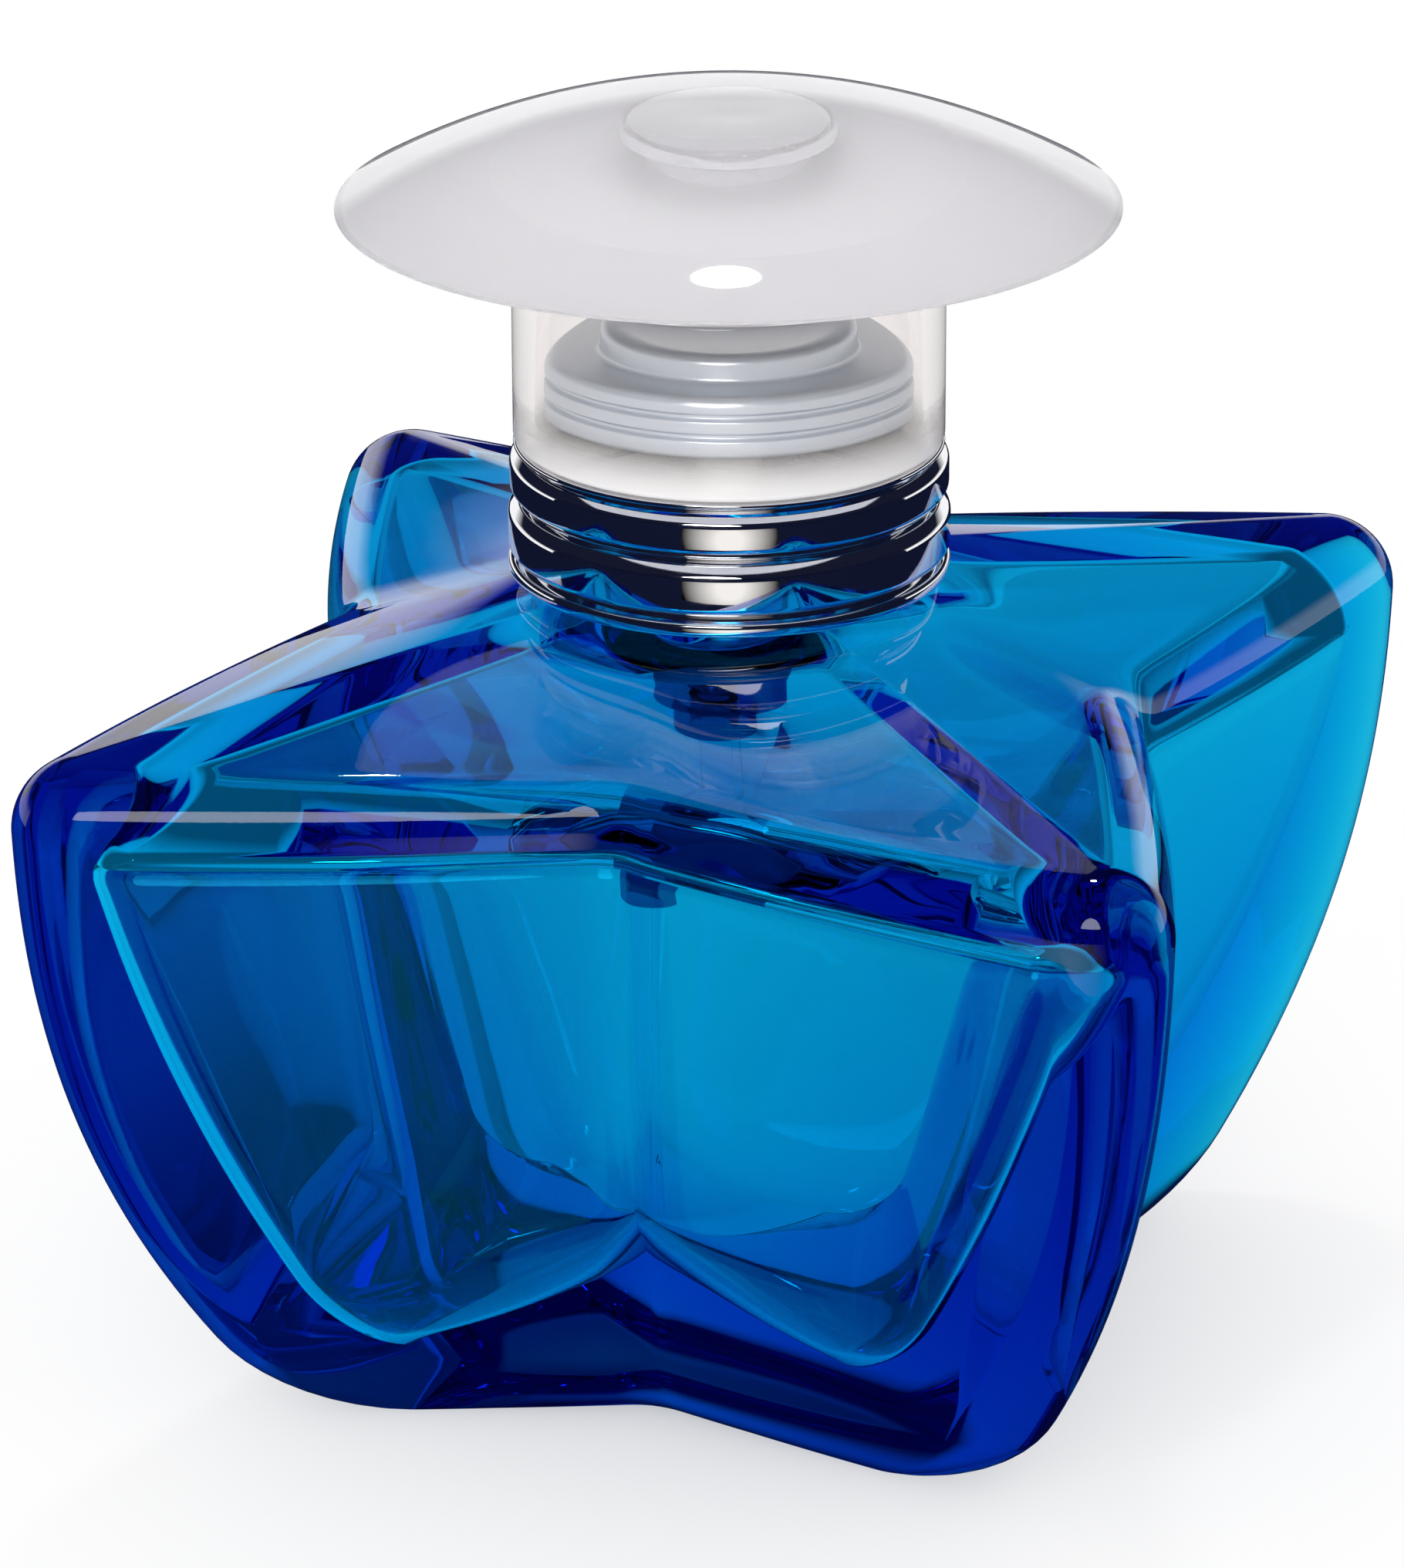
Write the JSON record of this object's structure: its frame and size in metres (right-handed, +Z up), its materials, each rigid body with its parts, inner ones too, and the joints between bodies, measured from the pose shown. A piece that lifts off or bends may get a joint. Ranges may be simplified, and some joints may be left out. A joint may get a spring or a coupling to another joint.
{
  "type": "aftershave spray bottle",
  "caption": "Star-shaped blue glass aftershave bottle with a crimped mist pump, bright ringed collar, stepped push button and clear overcap with a domed disc.",
  "frame": {"origin": "middle of the flat foot of the bottle, on the surface it stands on", "axes": "+Z up along the neck; the star's arms lie along X and Y; the spray nozzle faces +Y"},
  "size_m": [0.087, 0.087, 0.072],
  "materials": {
    "blue_glass": "clear cobalt-blue glass, fire polished",
    "fragrance": "clear liquid, very pale blue",
    "clear_tube": "clear extruded tube",
    "natural_plastic": "unpigmented moulded plastic",
    "steel": "bright stainless steel",
    "seal_rubber": "pale soft washer",
    "ferrule_aluminium": "drawn bright aluminium",
    "bright_metal": "mirror-bright plating",
    "satin_grey": "satin silver-grey plastic",
    "clear_acrylic": "polished clear acrylic",
    "pale_liner": "milky translucent plastic",
    "hazy_acrylic": "softly hazed acrylic, faint lavender"
  },
  "bodies": {
    "bottle_body": {"bottle": "blue_glass", "fragrance_fill": "fragrance", "dip_tube": "clear_tube", "pump_housing": "natural_plastic", "pump_spring": "steel", "stem_seal": "seal_rubber", "pump_turret": "natural_plastic", "neck_gasket": "seal_rubber", "crimp_ferrule": "ferrule_aluminium", "collar_bush": "natural_plastic", "collar_ring": "bright_metal"},
    "pump_rod": {"pump_stem": "natural_plastic", "pump_piston": "natural_plastic"},
    "push_button": {"actuator": "satin_grey", "spray_insert": "satin_grey"},
    "check_ball": {"inlet_ball": "steel"},
    "overcap": {"cap_sleeve": "clear_acrylic", "cap_liner": "pale_liner", "cap_disc": "hazy_acrylic", "cap_stud": "clear_acrylic"}
  },
  "joints": [
    {"name": "pump_stroke", "type": "slide", "parent": "bottle_body", "child": "pump_rod", "axis": [0, 0, -1], "range_m": [0, 0.004], "stiffness_N_per_m": 600, "springref_m": -0.003, "deforming": ["pump_spring"]},
    {"name": "button_swivel", "type": "hinge", "parent": "pump_rod", "child": "push_button", "pos_m": [0, 0, 0.0562], "axis": [0, 0, 1], "continuous": true},
    {"name": "ball_lift", "type": "slide", "parent": "bottle_body", "child": "check_ball", "axis": [0, 0, 1], "range_m": [0, 0.0008]},
    {"name": "cap_pull", "type": "slide", "parent": "bottle_body", "child": "overcap", "axis": [0, 0, 1], "range_m": [0, 0.03]}
  ]
}
